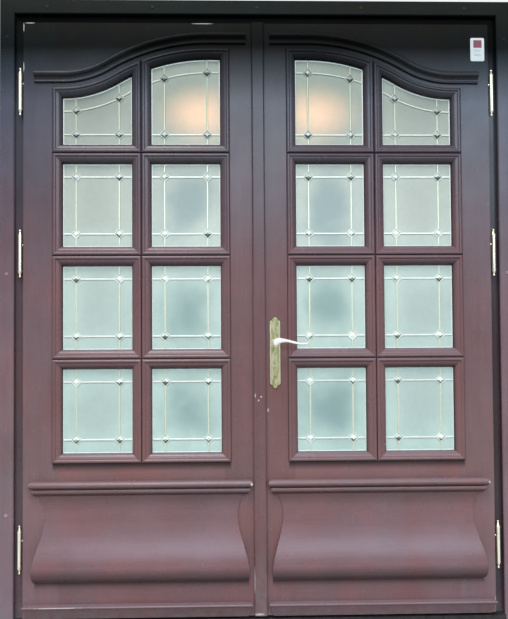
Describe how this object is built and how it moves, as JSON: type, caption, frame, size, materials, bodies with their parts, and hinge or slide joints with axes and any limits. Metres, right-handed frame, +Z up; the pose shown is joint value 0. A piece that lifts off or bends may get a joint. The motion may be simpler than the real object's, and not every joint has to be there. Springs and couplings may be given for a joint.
{
  "type": "french doors",
  "caption": "Outward-opening french doors in a stepped timber frame: leaded frosted lights under an ogee arch, bombe aprons, a lever handle and a key lock.",
  "frame": {"origin": "middle of the threshold's underside, halfway through the frame's depth", "axes": "+X to the right as seen from the front (the hinge side), the front faces -Y, +Z up"},
  "size_m": [1.81, 0.174, 2.196],
  "materials": {
    "frame_timber": "dark red-brown stain under a satin varnish",
    "leaf_timber": "dark red-brown stain under a semi-gloss varnish",
    "seal": "matte black",
    "plug": "faded brown covers",
    "hinge_brass": "polished",
    "hinge_pin_steel": "turned steel",
    "keeper_brass": "brushed",
    "glass": "frosted, pale green",
    "came_metal": "pale flat strip",
    "bevelled_glass": "bevelled and polished",
    "handle_brass": "polished and lacquered",
    "cylinder_brass": "machined",
    "lock_steel": "zinc plated",
    "bolt_steel": "zinc plated"
  },
  "bodies": {
    "frame": {"left_jamb": "frame_timber", "right_jamb": "frame_timber", "head": "frame_timber", "threshold": "frame_timber", "frame_seal": "seal", "fixing_plugs": "plug", "bolt_keepers": "keeper_brass", "hinge_frame_halves": "hinge_brass", "hinge_pins": "hinge_pin_steel"},
    "right_leaf": {"right_apron": "leaf_timber", "right_arch_moulding": "leaf_timber", "right_bottom_rail": "leaf_timber", "right_cames": "came_metal", "right_dado_moulding": "leaf_timber", "right_glazing_bars": "leaf_timber", "right_glazing_beads": "leaf_timber", "right_hinge_leaf_halves": "hinge_brass", "right_hinge_stile": "leaf_timber", "right_lower_panel": "leaf_timber", "right_lozenges": "bevelled_glass", "right_meeting_stile": "leaf_timber", "right_middle_rail": "leaf_timber", "right_muntin": "leaf_timber", "right_panes": "glass", "right_top_rail": "leaf_timber", "right_weatherboard": "leaf_timber", "meeting_strip": "leaf_timber", "lock_case": "lock_steel", "front_plate": "handle_brass", "back_plate": "handle_brass", "plate_screws": "handle_brass", "cylinder_body": "cylinder_brass"},
    "left_leaf": {"left_apron": "leaf_timber", "left_arch_moulding": "leaf_timber", "left_bottom_rail": "leaf_timber", "left_cames": "came_metal", "left_dado_moulding": "leaf_timber", "left_glazing_bars": "leaf_timber", "left_glazing_beads": "leaf_timber", "left_hinge_leaf_halves": "hinge_brass", "left_hinge_stile": "leaf_timber", "left_lower_panel": "leaf_timber", "left_lozenges": "bevelled_glass", "left_meeting_stile": "leaf_timber", "left_middle_rail": "leaf_timber", "left_muntin": "leaf_timber", "left_panes": "glass", "left_top_rail": "leaf_timber", "left_weatherboard": "leaf_timber", "strike_plate": "lock_steel", "flush_bolt_housings": "bolt_steel"},
    "lever": {"front_lever": "handle_brass", "back_lever": "handle_brass", "spindle": "lock_steel", "follower": "lock_steel"},
    "latch": {"latch_bolt": "lock_steel"},
    "key_plug": {"cylinder_plug": "cylinder_brass"},
    "deadbolt": {"deadbolt": "lock_steel"},
    "top_bolt": {"top_flush_bolt": "bolt_steel"},
    "bottom_bolt": {"bottom_flush_bolt": "bolt_steel"}
  },
  "joints": [
    {"name": "right_leaf_hinge", "type": "hinge", "parent": "frame", "child": "right_leaf", "pos_m": [0.8335, -0.043, 1.074], "axis": [0, 0, 1], "range_deg": [0, 100]},
    {"name": "left_leaf_hinge", "type": "hinge", "parent": "frame", "child": "left_leaf", "pos_m": [-0.8335, -0.043, 1.074], "axis": [0, 0, 1], "range_deg": [-100, 0]},
    {"name": "lever_turn", "type": "hinge", "parent": "right_leaf", "child": "lever", "pos_m": [0.055, -0.0935, 0.979], "axis": [0, 1, 0], "range_deg": [0, 40], "stiffness_Nm_per_rad": 0.8, "springref_deg": -28.65},
    {"name": "latch_slide", "type": "slide", "parent": "right_leaf", "child": "latch", "axis": [1, 0, 0], "range_m": [0, 0.012]},
    {"name": "key_turn", "type": "hinge", "parent": "right_leaf", "child": "key_plug", "pos_m": [0.055, -0.052, 0.889], "axis": [0, 1, 0], "range_deg": [0, 360]},
    {"name": "deadbolt_slide", "type": "slide", "parent": "right_leaf", "child": "deadbolt", "axis": [-1, 0, 0], "range_m": [0, 0.02]},
    {"name": "top_bolt_slide", "type": "slide", "parent": "left_leaf", "child": "top_bolt", "axis": [0, 0, 1], "range_m": [0, 0.016]},
    {"name": "bottom_bolt_slide", "type": "slide", "parent": "left_leaf", "child": "bottom_bolt", "axis": [0, 0, -1], "range_m": [0, 0.016]}
  ],
  "couplings": [
    {"joint": "left_leaf_hinge", "follows": "right_leaf_hinge", "ratio": -1},
    {"joint": "latch_slide", "follows": "lever_turn", "m_per_rad": 0.017187},
    {"joint": "key_turn", "follows": "deadbolt_slide", "rad_per_m": 314.15}
  ]
}
